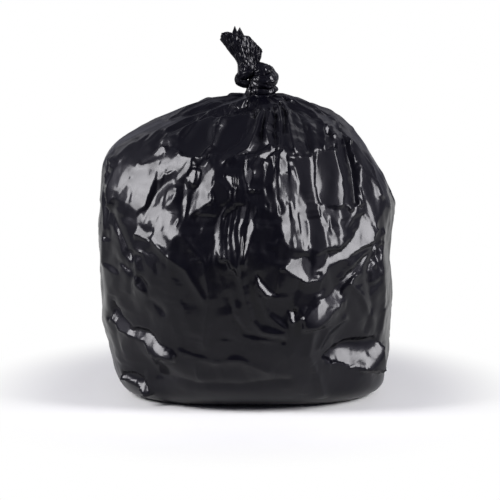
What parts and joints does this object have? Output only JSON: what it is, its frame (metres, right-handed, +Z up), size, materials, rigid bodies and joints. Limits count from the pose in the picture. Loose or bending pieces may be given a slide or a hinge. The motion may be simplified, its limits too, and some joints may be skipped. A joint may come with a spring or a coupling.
{
  "type": "tied bin bag",
  "caption": "Filled refuse sack of thin glossy film that stands on its flattened foot, gathered at the neck and tied in its own knot with a ruffled loose end.",
  "frame": {"origin": "on the floor, under the middle of the sack's outline seen from above", "axes": "+Z up towards the knot, -Y out of the side that the picture shows, +X to the right of that side"},
  "size_m": [0.4744, 0.4394, 0.5774],
  "materials": {
    "film": "glossy black polythene film, creased"
  },
  "bodies": {
    "root": {"tied_bin_bag": "film"}
  },
  "joints": []
}
